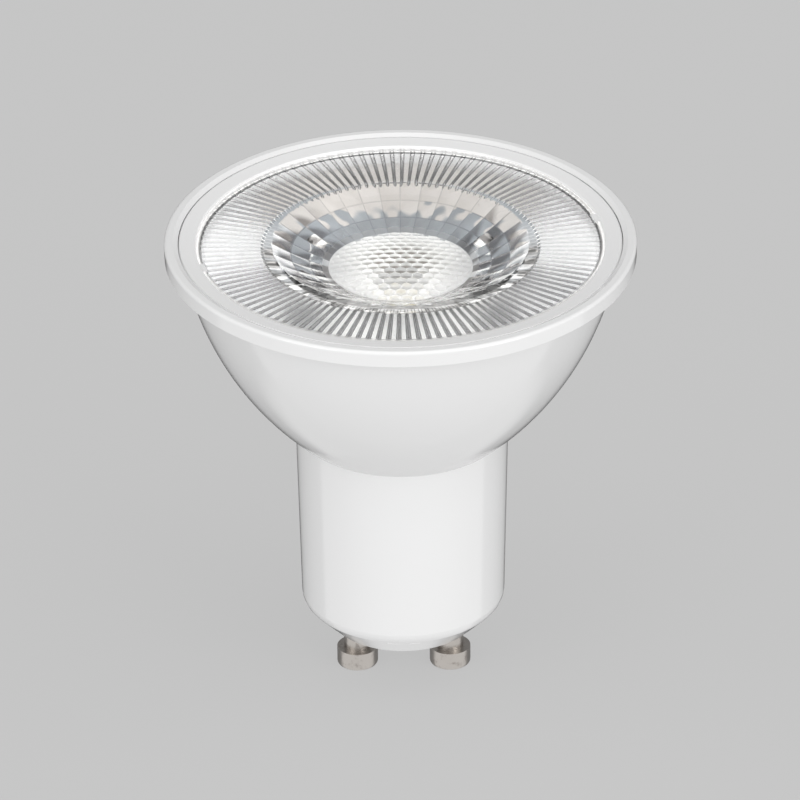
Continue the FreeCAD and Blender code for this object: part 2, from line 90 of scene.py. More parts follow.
# Ribs under the lens's flat ring, and the step of each rib's pitch that is its groove
rib_count = 120
rib_depth = 0.5 * millimetre
rib_foot_radius = 14.8 * millimetre
rib_inner_radius = 14.5 * millimetre
rib_outer_radius = 21.2 * millimetre
rib_end_slope = 0.1 * millimetre
steps_per_rib = 8
groove_step = 6

# Facets of the recess: each has a low crown that leans its own way. The peak is what brings the
# product across * (1 - across) * along * (1 - along) to 1 in a facet's middle. The slack counts in
# the vertices on the recess's two borders.
facet_steps = 6
facet_crowns = (0.06 * millimetre, 0.15 * millimetre)
facet_lean = 0.9
facet_seed = 4
facet_peak = 16
share_slack = 0.001

# Hexagonal cells of the dome. Each inset step has its width and its depth in millimetres.
cell_pitch = 1.18 * millimetre
cell_corners = 6
cell_margin = 0.12 * millimetre
cell_insets = ((0.08, 0.05), (0.13, 0.045), (0.16, 0.025))
cell_merge_distance = 0.02 * millimetre

# Legs of the lens, and notches for the lugs of its ring, with their angles in degrees
leg_radius = 1.0 * millimetre
leg_circle = 10.5 * millimetre
leg_angles = (30, 150, 270)
leg_sides = 32
lug_angles = (14, 194)
lug_width = 1.86 * millimetre
lug_reach = 0.53 * millimetre
lug_thickness = 0.58 * millimetre

# Painted shade: dark lines at the edges of each groove, which stand in for the dark the grooves refract,
# with offset, half width and spread in shares of a rib's pitch, and the fully dark core as a share of
# the half width. They stand further apart in front and fade at the far left and right, and the ribs
# get a painted dusky shade front left and right. Here and below, a pair of numbers says where
# something starts and where it is whole. A direction is 1 straight sideways, backwards or forwards,
# and 0 square to that.
line_offset = 0.16
line_half_width = 0.1
line_core = 0.4
line_spread = 0.045
spread_edge = (0.6, 0.9)
line_fade = 0.45
fade_edge = (0.92, 0.99)
painted_dusk = 0.6
painted_dusk_edge = (0.4, 0.9)
painted_dusk_grey = rgb(0.3, 0.3, 0.31)
painted_line_black = rgb(0.03, 0.03, 0.035)

# Painted shade on the facets: darker joints between them, with half widths in shares of a facet,
# and tones of the facets, both stronger at the left and right
column_joint = 0.045
row_joint = 0.05
side_edge = (0.6, 0.85)
side_contrast = (0.42, 0.58)
painted_facet_grey = rgb(0.62, 0.6, 0.58)
painted_side_facet_grey = rgb(0.16, 0.15, 0.15)
joint_strength = 0.45
side_joint_strength = 0.4
painted_joint_grey = rgb(0.3, 0.3, 0.31)

# Shade at the front edge of each cell, in shares of the cells' grid, weaker towards the dome's rim
cell_edge = (0.49, 0.51)
cell_front = (0.06, 0.2)
cell_fade = 0.8
cell_fade_edge = (dome_radius * 0.3, dome_radius * 0.95)
cell_shade = rgb(0.08, 0.07, 0.06)

# Depths below the lens's flat top at which its underside, the back of the recess's wall and the
# dome's back begin, and soft edges of its parts. The wall's depth is taken less its slope times the
# distance inward.
underside_depth = (0.3 * millimetre, 0.4 * millimetre)
wall_underside = (0.6 * millimetre, 0.8 * millimetre)
wall_slope = 0.5
crown_depth = (3.0 * millimetre, 3.1 * millimetre)
soft_edge = 0.1 * millimetre
dome_edge = 0.2 * millimetre
cone_edge = (8.2 * millimetre, 8.5 * millimetre)
rim_edge = (lens_radius - 0.22 * millimetre, lens_radius - 0.17 * millimetre)
foot_edge = (recess_radius - 0.3 * millimetre, recess_radius)
foot_back_edge = (0.2, 0.5)

# Roughness of the lens's parts
cone_frost = 0.4
crown_frost = 0.32
rib_frost = 0.25
edge_frost = 0.4
wall_frost = 0.06
haze_frost = 0.02

# Faint glow that stands for the light lost between the lens and the cup, and the share of it that
# each part of the lens has
cup_glow = 0.31
board_glow = 0.58
lens_glow = 0.4
rim_share = 0.8
foot_share = 0.8
low_dome_share = 0.4
glow_colour = rgb(1, 0.98, 0.95)

# Cup: painted reflections, cream in its upper part and pale in front, both less metallic than the
# bare part, with a painted glare at the left and right
cream_reflection_edge = (0.57, 0.61)
pale_reflection_edge = (0.55, 0.75)
painted_glare_edge = (0.8, 0.97)
bare_metallic = 0.85
reflection_metallic_loss = 0.65

# Tin of the leads and feet of the parts on the driver board
tin = rgb(0.75, 0.74, 0.72)

# Floor: width, shade and glow
floor_size = 6.0
floor_shade = 0.12
floor_glow = 0.457

# Studio light. The surroundings have a strength in front and one behind, with a soft edge between
# them by direction, a dark patch round one direction behind the bulb, and a brighter part
# straight below. Then come place, size and brightness of each soft box.
front_light = 0.98
back_light = 0.28
light_edge = (0.14, 0.2)
backwards = Vector((0.0, 1.0, 0.0))
dark_patch = Vector((0.0, 0.872, -0.489))
dark_edge = (0.94, 0.99)
downwards = Vector((0.0, 0.0, -1.0))
below_light = 0.9
below_edge = (0.7, 0.85)
softboxes = (
    ("top_light", (0.1, -0.1, 1.0), 0.9, 0.5),
    ("left_light", (-0.8, -0.8, 0.35), 0.6, 1.9),
    ("right_light", (0.8, -0.8, 0.35), 0.6, 3.0),
)


class Field:
    """A shader value that takes part in Python arithmetic."""

    def __init__(self, nodes, socket):
        self.nodes = nodes
        self.socket = socket

    def __add__(self, other):
        return self.nodes.math("ADD", self, other)

    def __radd__(self, other):
        return self.nodes.math("ADD", other, self)

    def __sub__(self, other):
        return self.nodes.math("SUBTRACT", self, other)

    def __rsub__(self, other):
        return self.nodes.math("SUBTRACT", other, self)

    def __mul__(self, other):
        return self.nodes.math("MULTIPLY", self, other)

    def __truediv__(self, other):
        return self.nodes.math("DIVIDE", self, other)

    def __abs__(self):
        return self.nodes.math("ABSOLUTE", self)

    def __floor__(self):
        return self.nodes.math("FLOOR", self)


class Nodes:
    """A node tree that is written as expressions on fields."""

    def __init__(self, tree):
        self.tree = tree

    def node(self, kind, inputs, **settings):
        """New node of a kind, with its settings made first and then its sockets' values or links."""
        made = self.tree.nodes.new(kind)
        for name, value in settings.items():
            setattr(made, name, value)
        for name, value in inputs.items():
            if isinstance(value, Field):
                self.tree.links.new(value.socket, made.inputs[name])
            else:
                made.inputs[name].default_value = value
        return made

    def coordinates(self, kind):
        """Coordinates of the place or direction that is shaded."""
        return Field(self, self.node("ShaderNodeTexCoord", {}).outputs[kind])

    def math(self, operation, *values):
        """Math node on fields and numbers."""
        made = self.node("ShaderNodeMath", dict(enumerate(values)), operation=operation)
        return Field(self, made.outputs[0])

    def fract(self, value):
        """What a value has beyond its last whole number."""
        return self.math("FRACT", value)

    def off_middle(self, value):
        """Distance of a value from the middle between its two whole numbers."""
        return abs(self.fract(value) - 0.5)

    def either(self, first, second):
        """The greater of two values."""
        return self.math("MAXIMUM", first, second)

    def distance(self, across, along):
        """Distance from the origin of two axes."""
        return self.math("SQRT", across * across + along * along)

    def towards(self, direction, axis):
        """1 where a direction is along an axis, 0 where it is square to it."""
        made = self.node("ShaderNodeVectorMath", {0: direction, 1: axis}, operation="DOT_PRODUCT")
        return Field(self, made.outputs["Value"])

    def between(self, value, low, high):
        """0 below low, 1 above high, smooth between."""
        made = self.node("ShaderNodeMapRange", {"Value": value, "From Min": low, "From Max": high},
                         interpolation_type="SMOOTHSTEP")
        return Field(self, made.outputs["Result"])

    def near(self, value, target, inner, outer):
        """1 within the inner distance of a target, 0 beyond the outer one."""
        return 1.0 - self.between(abs(value - target), inner, outer)


class Finish(Nodes):
    """A material whose varying parts are written as expressions on fields."""

    def __init__(self, name, constants):
        self.material = bpy.data.materials.new(name)
        self.material.use_nodes = True
        super().__init__(self.material.node_tree)
        self.shader = self.tree.nodes["Principled BSDF"]
        for socket, value in constants.items():
            self.shader.inputs[socket].default_value = value

    def place(self, scale=(1, 1, 1)):
        """Object coordinates, scaled."""
        made = self.node("ShaderNodeMapping", {"Vector": self.coordinates("Object"), "Scale": scale})
        return Field(self, made.outputs["Vector"])

    def axes(self, place):
        """The three parts of a place as fields."""
        parts = self.node("ShaderNodeSeparateXYZ", {"Vector": place})
        return [Field(self, part) for part in parts.outputs]

    def joined(self, x, y, z):
        """Place made of three fields or numbers."""
        made = self.node("ShaderNodeCombineXYZ", {"X": x, "Y": y, "Z": z})
        return Field(self, made.outputs["Vector"])

    def noise(self, place, scale, detail, roughness=0.5):
        """Noise from about 0 to 1 on a place."""
        made = self.node("ShaderNodeTexNoise", {
            "Vector": place, "Scale": scale, "Detail": detail, "Roughness": roughness})
        return Field(self, made.outputs[0])

    def scatter(self, place):
        """Number from 0 to 1 by chance, the same wherever the place is the same."""
        made = self.node("ShaderNodeTexWhiteNoise", {"Vector": place})
        return Field(self, made.outputs["Value"])

    def blend(self, share, first, second):
        """Colour that goes from the first to the second as the share rises."""
        made = self.node("ShaderNodeMix", {0: share, 6: first, 7: second}, data_type="RGBA")
        return Field(self, made.outputs[2])

    def bump(self, height, distance):
        """Relief of a height field, with its depth in metres, on the shader's normal."""
        made = self.node("ShaderNodeBump", {"Height": height, "Distance": distance})
        self.feed("Normal", Field(self, made.outputs["Normal"]))

    def feed(self, socket, field):
        """Links a field to a socket of the shader."""
        self.tree.links.new(field.socket, self.shader.inputs[socket])


class LensFinish(Finish):
    """Finish of the clear lens, with the parts of the lens as fields from 0 to 1."""

    def __init__(self, name, constants):
        super().__init__(name, constants)
        self.spot = self.place()
        self.x, self.y, z = self.axes(self.spot)
        self.radius = self.distance(self.x, self.y)
        self.turn = self.math("ARCTAN2", self.y, self.x) / full_turn
        self.sideways = abs(self.x) / self.radius
        self.backward = self.y / self.radius
        self.forward = self.backward * -1.0
        depth = lens_top - z
        inward = recess_radius - self.radius

        self.ring = self.between(self.radius, rib_inner_radius, rib_inner_radius + rib_end_slope)
        self.under = self.between(depth, *underside_depth)
        self.ribs = self.ring * self.under
        self.upper = 1.0 - self.between(depth - inward * wall_slope, *wall_underside)
        inside = 1.0 - self.between(self.radius, recess_radius - soft_edge, recess_radius)
        beyond_dome = self.between(self.radius, dome_radius, dome_radius + soft_edge)
        self.facets = inside * beyond_dome * self.upper
        on_dome = 1.0 - self.between(self.radius, dome_radius - dome_edge, dome_radius)
        self.crown = on_dome * (1.0 - self.between(depth, *crown_depth))

    def painted_groove_lines(self):
        """Two lines of painted shade at the edges of every groove."""
        from_groove = self.turn * rib_count + (1.5 - groove_step / steps_per_rib)
        offset = line_offset + self.between(self.forward, *spread_edge) * line_spread
        return self.near(self.off_middle(from_groove), offset, line_half_width * line_core, line_half_width)

    def joint_lines(self, value, half_width):
        """Lines at the whole numbers of a value."""
        return self.near(self.fract(value + 0.5), 0.5, half_width * line_core, half_width)

    def toned_facets(self, clear):
        """Painted shade on each facet, by chance and rising from corner to corner, and at its joints."""
        row = (recess_radius - self.radius) * (recess_rows / (recess_radius - dome_radius))
        column = self.turn * recess_columns
        chance = self.scatter(self.joined(math.floor(column), math.floor(row), 0.0))
        slope = self.fract(column) * 0.5 + self.fract(row) * 0.5
        tone = chance * 0.5 + slope * 0.5
        side = self.between(self.sideways, *side_edge)
        tone = tone + side * (self.between(tone, *side_contrast) - tone)
        shade = self.blend(side, painted_facet_grey, painted_side_facet_grey)
        toned = self.blend(tone * self.facets, clear, shade)
        joint = self.either(self.joint_lines(column, column_joint), self.joint_lines(row, row_joint))
        strength = joint_strength + side * side_joint_strength
        return self.blend(joint * self.facets * strength, toned, painted_joint_grey)

    def cell_fronts(self):
        """Front edge of every cell; the cells are made up of two shifted grids."""
        row = cell_pitch * math.sqrt(3)
        fronts = []
        for shift in (0.0, 0.5):
            across = self.off_middle(self.x / cell_pitch + shift)
            along = self.fract(self.y / row + shift) - 0.5
            reach = self.either(across, across * 0.5 + abs(along) * 1.5)
            inside = 1.0 - self.between(reach, *cell_edge)
            fronts.append(self.between(along * -1.0, *cell_front) * inside)
        return self.either(*fronts)

    def glow(self, lines):
        """Glow of the rim, of the foot of the ribs but at their lines, and of the dome's lower half."""
        rim = self.between(self.radius, *rim_edge)
        facing = 1.0 - self.between(self.backward, *foot_back_edge)
        foot = self.between(self.radius, *foot_edge) * (1.0 - self.ring) * self.under * facing
        low_dome = self.between(self.y * -1.0, 0.0, dome_radius * 0.7) * self.crown
        bright = self.either(rim * rim_share, foot * (1.0 - lines) * foot_share)
        return self.either(bright, low_dome * low_dome_share)

    def frost(self):
        """Roughness of cone, crown, ribs, edge and the recess's underside."""
        cone = (1.0 - self.between(self.radius, *cone_edge)) * (1.0 - self.crown)
        edge = self.between(self.radius, rib_outer_radius - rib_end_slope, rib_outer_radius)
        wall = (1.0 - self.upper) * (1.0 - self.ring)
        return (cone * cone_frost + self.crown * crown_frost + self.ribs * rib_frost
                + edge * edge_frost + wall * wall_frost)


def clear_plastic():
    """Clear acrylic: painted shade in groove lines, dusky ribs, facets and cells; frost and a glow."""
    finish = LensFinish("clear_acrylic", {
        "Transmission Weight": 1.0, "IOR": 1.49, "Emission Strength": lens_glow})
    haze = finish.noise(finish.spot, scale=90.0, detail=2.0)
    # Where the painted dark lines beside each groove go
    lines = finish.painted_groove_lines()
    faded = 1.0 - finish.between(finish.sideways, *fade_edge) * line_fade
    # Painted dusky shade on the ribs front left and right
    painted_dusk_share = finish.between(finish.sideways * finish.forward * 2.0, *painted_dusk_edge) * painted_dusk
    weaker = 1.0 - finish.between(finish.radius, *cell_fade_edge) * cell_fade

    colour = finish.blend(haze, rgb(0.99, 0.993, 0.996), rgb(0.97, 0.976, 0.982))
    # Painted shade on the ribs: the dusky front sides, then dark lines beside each groove
    colour = finish.blend(painted_dusk_share * finish.ribs, colour, painted_dusk_grey)
    colour = finish.blend(lines * finish.ribs * faded, colour, painted_line_black)
    # Painted shade on the facets and their joints
    colour = finish.toned_facets(colour)
    colour = finish.blend(finish.cell_fronts() * finish.crown * weaker, colour, cell_shade)
    finish.feed("Base Color", colour)
    finish.feed("Emission Color", finish.blend(finish.glow(lines), rgb(0, 0, 0), glow_colour))
    finish.feed("Roughness", finish.between(haze, 0.5, 0.9) * haze_frost + finish.frost())
    return finish.material


def white_plastic(name, shade, roughness):
    """Moulded white plastic: faint flow marks, a fine orange peel and uneven gloss."""
    finish = Finish(name, {"IOR": 1.5, "Coat Weight": 0.15, "Coat Roughness": 0.12})
    place = finish.place()
    flow = finish.noise(place, scale=60.0, detail=2.0)
    grain = finish.noise(place, scale=2600.0, detail=2.0)
    bright = rgb(shade, shade, shade * 1.005)
    dull = rgb(shade * 0.975, shade * 0.975, shade * 0.97)
    finish.feed("Base Color", finish.blend(flow, bright, dull))
    finish.feed("Roughness", roughness + (flow - 0.5) * 0.08 + (grain - 0.5) * 0.04)
    return finish.material


def spun_aluminium():
    """Pressed aluminium with fine tool rings; painted reflections cream above and pale in front; painted
    glow.
    """
    low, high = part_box("heat_sink_cup")
    cream_reflection_start, cream_reflection_whole = [low.z + (high.z - low.z) * share for share in cream_reflection_edge]
    finish = Finish("spun_aluminium", {"Emission Strength": cup_glow})
    place = finish.place()
    x, y, z = finish.axes(place)
    radius = finish.distance(x, y)
    rings = finish.noise(finish.joined(radius, 0.0, z), scale=5000.0, detail=3.0)
    smear = finish.noise(place, scale=180.0, detail=4.0)
    # Painted reflections: cream in the upper part and pale in front
    upper = finish.between(z, cream_reflection_start, cream_reflection_whole)
    pale = 1.0 - finish.between(y / radius, *pale_reflection_edge)
    metal = finish.blend(smear, rgb(0.33, 0.35, 0.37), rgb(0.28, 0.3, 0.32))
    cream = finish.blend(smear, rgb(0.63, 0.605, 0.58), rgb(0.55, 0.52, 0.49))
    colour = finish.blend(pale, finish.blend(upper, metal, cream), rgb(0.93, 0.93, 0.93))
    # Painted glare at the left and right, in the cup's faint painted glow
    glare = finish.between(abs(x) / radius, *painted_glare_edge)
    finish.feed("Base Color", colour)
    finish.feed("Emission Color", finish.blend(glare, colour, rgb(1.5, 1.5, 1.5)))
    finish.feed("Metallic", bare_metallic - finish.either(upper, pale) * reflection_metallic_loss)
    finish.feed("Roughness", 0.2 + smear * 0.12 + rings * 0.08)
    finish.bump(rings, 0.006 * millimetre)
    return finish.material


def white_mask():
    """White solder mask over the round board, with its tracks faintly raised under it and a painted glow.
    """
    board_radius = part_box("led_board")[1].x
    finish = Finish("white_solder_mask", {
        "IOR": 1.5, "Emission Color": rgb(1.0, 0.99, 0.97), "Emission Strength": board_glow})
    place = finish.place()
    x, y, z = finish.axes(place)
    ring = finish.near(finish.distance(x, y), board_radius * 0.62, 0.3 * millimetre, 0.4 * millimetre)
    strip = finish.near(x, 0.0, 0.9 * millimetre, 1.0 * millimetre)
    track = finish.either(ring, strip)
    speck = finish.noise(place, scale=3000.0, detail=2.0)
    finish.feed("Base Color", finish.blend(track, rgb(0.9, 0.9, 0.88), rgb(0.84, 0.84, 0.8)))
    finish.feed("Roughness", 0.35 + speck * 0.15)
    finish.bump(track, 0.03 * millimetre)
    return finish.material


def grained(name, colour, dark, scale, roughness, depth, metallic=0.0):
    """Plain moulded, pressed or lacquered body with a grain in its colour, gloss and surface."""
    finish = Finish(name, {"Metallic": metallic})
    grain = finish.noise(finish.place(), scale=scale, detail=4.0)
    finish.feed("Base Color", finish.blend(grain, rgb(*colour), rgb(*dark)))
    finish.feed("Roughness", roughness + (grain - 0.5) * 0.2)
    finish.bump(grain, depth)
    return finish.material


def worn_nickel():
    """Satin nickel plating on turned pins: fine lathe rings and handling marks."""
    finish = Finish("worn_nickel", {"Metallic": 1.0})
    place = finish.place()
    height = finish.axes(place)[2]
    lathe = finish.noise(finish.joined(0.0, 0.0, height), scale=6000.0, detail=3.0)
    marks = finish.noise(place, scale=900.0, detail=5.0, roughness=0.65)
    worn = finish.between(marks, 0.5, 0.72)
    finish.feed("Base Color", finish.blend(worn, rgb(0.5, 0.47, 0.44), rgb(0.3, 0.27, 0.25)))
    finish.feed("Roughness", 0.24 + lathe * 0.12 + worn * 0.2)
    finish.bump(lathe * 0.4 + marks, 0.012 * millimetre)
    return finish.material


def board_green():
    """Green solder mask over a grid of copper tracks, with tinned pads."""
    finish = Finish("green_solder_mask", {"IOR": 1.5, "Coat Weight": 0.3, "Coat Roughness": 0.2})
    x, y, z = finish.axes(finish.place())
    pitch = 1.6 * millimetre
    across = y / pitch
    along = z / pitch
    block = finish.noise(finish.joined(0.0, math.floor(across), math.floor(along)), scale=3.7, detail=0.0)
    off_track = finish.off_middle(across)
    from_pad = finish.distance(off_track, finish.off_middle(along))
    track = (1.0 - finish.between(off_track, 0.12, 0.15)) * finish.between(block, 0.48, 0.5)
    pad = 1.0 - finish.between(from_pad, 0.16, 0.19)
    mask = finish.blend(track, rgb(0.02, 0.16, 0.06), rgb(0.05, 0.3, 0.12))
    finish.feed("Base Color", finish.blend(pad, mask, rgb(0.72, 0.7, 0.66)))
    finish.feed("Metallic", pad * 0.9)
    finish.feed("Roughness", 0.3 + track * 0.08)
    finish.bump(finish.either(track, pad), 0.03 * millimetre)
    return finish.material


def shrunk_sleeve(node):
    """Dark shrunk sleeve with a pale stripe down one side and tinned leads below."""
    low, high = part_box(node)
    foot = low.z + 0.9 * millimetre
    finish = Finish("sleeve_of_" + node, {"Coat Weight": 0.4, "Coat Roughness": 0.15})
    x, y, z = finish.axes(finish.place())
    stripe = finish.between(y, high.y * 0.55, high.y * 0.6)
    body = finish.between(z, foot, foot + soft_edge)
    crease = finish.noise(finish.place((1, 1, 0.2)), scale=900.0, detail=3.0)
    sleeve = finish.blend(stripe, rgb(0.02, 0.035, 0.1), rgb(0.5, 0.53, 0.58))
    finish.feed("Base Color", finish.blend(body, tin, sleeve))
    finish.feed("Metallic", 1.0 - body)
    finish.feed("Roughness", 0.28 + crease * 0.12)
    finish.bump(crease, 0.01 * millimetre)
    return finish.material


def copper_turns():
    """Enamelled copper wire, turn beside turn, with painted shade darker towards the edges of each turn."""
    finish = Finish("enamelled_copper", {"Metallic": 1.0, "Coat Weight": 0.6, "Coat Roughness": 0.1})
    wire = 0.35 * millimetre
    edge = finish.off_middle(finish.axes(finish.place())[0] / wire) * 2.0
    # Painted shade: each turn darker towards its edges, where the turns meet
    finish.feed("Base Color", finish.blend(edge, rgb(0.8, 0.4, 0.2), rgb(0.35, 0.13, 0.06)))
    finish.feed("Roughness", 0.25 + edge * 0.2)
    finish.bump(1.0 - edge * edge, 0.12 * millimetre)
    return finish.material


def banded_lacquer():
    """Pale lacquer of a wire-ended resistor, with four plain colour bands and tinned leads."""
    low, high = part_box("fuse_resistor")
    middle = (low.z + high.z) / 2
    body_half = 3.0 * millimetre
    finish = Finish("banded_lacquer", {"Coat Weight": 0.3})
    height = finish.axes(finish.place())[2]
    colour = rgb(0.36, 0.56, 0.62)
    bands = ((-1.5, rgb(0.28, 0.1, 0.04)), (-0.6, rgb(0.02, 0.02, 0.02)),
             (0.3, rgb(0.5, 0.08, 0.04)), (1.5, rgb(0.55, 0.4, 0.12)))
    for offset, band in bands:
        share = finish.near(height, middle + offset * millimetre, 0.2 * millimetre, 0.25 * millimetre)
        colour = finish.blend(share, colour, band)
    lead = finish.between(abs(height - middle), body_half, body_half + 0.05 * millimetre)
    finish.feed("Base Color", finish.blend(lead, colour, tin))
    finish.feed("Metallic", lead)
    finish.feed("Roughness", 0.38 - lead * 0.1)
    return finish.material


def chip_moulding(node):
    """Dull black moulding compound, with tinned feet along both sides."""
    low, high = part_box(node)
    middle = (low.y + high.y) / 2
    body_half = (high.y - low.y) / 2 - 0.9 * millimetre
    finish = Finish("moulding_of_" + node, {})
    place = finish.place()
    across = abs(finish.axes(place)[1] - middle)
    foot = finish.between(across, body_half, body_half + 0.02 * millimetre)
    grain = finish.noise(place, scale=4000.0, detail=3.0)
    body = finish.blend(grain, rgb(0.025, 0.025, 0.028), rgb(0.05, 0.05, 0.052))
    finish.feed("Base Color", finish.blend(foot, body, tin))
    finish.feed("Metallic", foot)
    finish.feed("Roughness", 0.6 - foot * 0.3)
    finish.bump(grain, 0.01 * millimetre)
    return finish.material


def floor_finish():
    """Plain studio floor with a light of its own, so that it takes hardly any shadow."""
    finish = Finish("studio_floor", {
        "Roughness": 0.9, "Specular IOR Level": 0.0, "Emission Strength": floor_glow,
        "Base Color": rgb(floor_shade, floor_shade, floor_shade),
        "Emission Color": rgb(1.0, 1.0, 1.0)})
    return finish.material


def paint(node, material):
    """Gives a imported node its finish."""
    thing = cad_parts[node]
    if not thing.material_slots:
        thing.data.materials.append(material)
    for slot in thing.material_slots:
        slot.material = material


def add_piece(name, shape, material):
    """Object made of a finished bmesh, at the origin."""
    mesh = bpy.data.meshes.new(name)
    shape.to_mesh(mesh)
    shape.free()
    mesh.materials.append(material)
    piece = bpy.data.objects.new(name, mesh)
    bpy.context.scene.collection.objects.link(piece)
    return piece


def add_floor():
    """Plain floor that the bulb stands on."""
    shape = bmesh.new()
    bmesh.ops.create_grid(shape, x_segments=1, y_segments=1, size=floor_size / 2)
    floor = add_piece("studio_floor", shape, floor_finish())
    floor.visible_glossy = False


def add_camera():
    """Camera at the photograph's place and angle."""
    data = bpy.data.cameras.new("camera")
    data.sensor_width = sensor_width
    data.lens = sensor_width * focal_pixels / image_pixels
    camera = bpy.data.objects.new("camera", data)
    pitched = Matrix.Rotation(math.pi / 2 - camera_pitch, 4, "X")
    rolled = Matrix.Rotation(camera_roll, 4, "Z")
    camera.matrix_world = Matrix.Translation(camera_place) @ pitched @ rolled
    bpy.context.scene.collection.objects.link(camera)
    bpy.context.scene.camera = camera


def add_softbox(name, place, size, brightness):
    """Square soft light that faces the bulb, with its brightness kept apart from its size."""
    data = bpy.data.lights.new(name, "AREA")
    data.shape = "SQUARE"
    data.size = size
    data.energy = brightness * math.pi * size ** 2
    light = bpy.data.objects.new(name, data)
    light.location = place
    towards = Vector((0, 0, lens_top / 2)) - Vector(place)
    light.rotation_euler = towards.to_track_quat("-Z", "Y").to_euler()
    bpy.context.scene.collection.objects.link(light)


def add_studio():
    """Surroundings that are bright in front and dim behind, with a dark patch, and three soft boxes."""
    world = bpy.data.worlds.new("studio")
    world.use_nodes = True
    nodes = Nodes(world.node_tree)
    direction = nodes.coordinates("Generated")
    behind = nodes.between(nodes.towards(direction, backwards), *light_edge)
    below = nodes.between(nodes.towards(direction, downwards), *below_edge)
    patch = nodes.between(nodes.towards(direction, dark_patch), *dark_edge)
    walls = front_light + behind * (back_light - front_light)
    strength = nodes.either(walls, below * below_light) * (1.0 - patch)
    background = world.node_tree.nodes["Background"]
    background.inputs["Color"].default_value = rgb(1.0, 1.0, 1.0)
    world.node_tree.links.new(strength.socket, background.inputs["Strength"])
    bpy.context.scene.world = world
    for softbox in softboxes:
        add_softbox(*softbox)
    bpy.context.scene.view_settings.view_transform = "Standard"


def recess_height(radius):
    """Height of the recess wall at a radius."""
    share = (recess_radius - radius) / (recess_radius - dome_radius)
    return lens_top - recess_depth * share - recess_bulge * math.sin(math.pi * share)


def under_height(radius):
    """Height of the plain wall below the recess at a radius."""
    share = (rib_foot_radius - radius) / (rib_foot_radius - cone_top_radius)
    return lens_seat + (lens_top - recess_depth - lens_wall - lens_seat) * share


def dome_rise(radius):
    """Height of the dome's smooth crown above its rim at a radius."""
    sphere = (dome_radius ** 2 + dome_height ** 2) / (2 * dome_height)
    return math.sqrt(sphere ** 2 - radius ** 2) - (sphere - dome_height)


def lens_outline():
    """Half section of the lens, from the dome's rim round the outside to the light's cavity."""
    points = []
    wall_steps = recess_rows * facet_steps
    for step in range(wall_steps, -1, -1):
        radius = recess_radius + (dome_radius - recess_radius) * step / wall_steps
        points.append((radius, recess_height(radius)))
    cone_top = lens_top - recess_depth - lens_wall
    cavity_top = cone_foot + cavity_depth
    points += [
        (lens_radius - edge_bevel, lens_top),
        (lens_radius, lens_top - edge_bevel),
        (lens_radius, lens_seat),
        (rib_outer_radius, lens_seat),
        (rib_outer_radius - rib_end_slope, lens_seat),
    ]
    for step in range(wall_steps + 1):
        share = step / wall_steps
        points.append((rib_foot_radius + (cone_top_radius - rib_foot_radius) * share,
                       lens_seat + (cone_top - lens_seat) * share))
    points += [
        (cone_radius, cone_foot),
        (mouth_radius, cone_foot),
    ]
    for ring in range(cavity_rings + 1):
        angle = math.pi / 2 * ring / cavity_rings
        points.append((cavity_radius * math.cos(angle), cavity_top + cavity_crown * math.sin(angle)))
    return points


def turn_outline(shape, points, steps):
    """Turns an open outline of (radius, height) points once about the upright axis."""
    corners = [shape.verts.new((radius, 0, height)) for radius, height in points]
    edges = [shape.edges.new(pair) for pair in zip(corners, corners[1:])]
    bmesh.ops.spin(shape, geom=corners + edges, cent=(0, 0, 0), axis=(0, 0, 1),
                   angle=full_turn, steps=steps, use_merge=True)
    bmesh.ops.remove_doubles(shape, verts=shape.verts, dist=merge_distance)


def cut_ribs(shape):
    """Raises one line of the underside's vertices in each rib's pitch, which makes a narrow groove."""
    step = full_turn / (rib_count * steps_per_rib)
    outer = rib_outer_radius - rib_end_slope / 2
    for corner in shape.verts:
        radius = math.hypot(corner.co.x, corner.co.y)
        under = lens_seat if radius > rib_foot_radius else under_height(radius)
        if rib_inner_radius < radius < outer and abs(corner.co.z - under) < edge_bevel:
            index = round(math.atan2(corner.co.y, corner.co.x) / step) % steps_per_rib
            if index == groove_step:
                corner.co.z += rib_depth


def raise_facets(shape):
    """Makes the recess's wall a polygon of facets, each with a low crown that leans its own way."""
    picker = random.Random(facet_seed)
    crowns = {}
    column_angle = full_turn / recess_columns
    for corner in shape.verts:
        radius = math.hypot(corner.co.x, corner.co.y)
        share = (recess_radius - radius) / (recess_radius - dome_radius)
        on_wall = abs(corner.co.z - recess_height(radius)) < edge_bevel / 2
        if on_wall and -share_slack < share < 1 + share_slack:
            angle = math.atan2(corner.co.y, corner.co.x) % full_turn
            column, across = divmod(angle / column_angle, 1)
            row, along = divmod(share * recess_rows, 1)
            facet = (round(column) % recess_columns, round(row))
            if facet not in crowns:
                crowns[facet] = (picker.uniform(*facet_crowns), picker.uniform(-facet_lean, facet_lean),
                                 picker.uniform(-facet_lean, facet_lean))
            height, sideways, downwards = crowns[facet]
            lean = 1 + sideways * (across - 0.5) + downwards * (along - 0.5)
            from_middle = (across - 0.5) * column_angle
            corner.co.z += height * lean * facet_peak * across * (1 - across) * along * (1 - along)
            corner.co.x /= math.cos(from_middle)
            corner.co.y /= math.cos(from_middle)


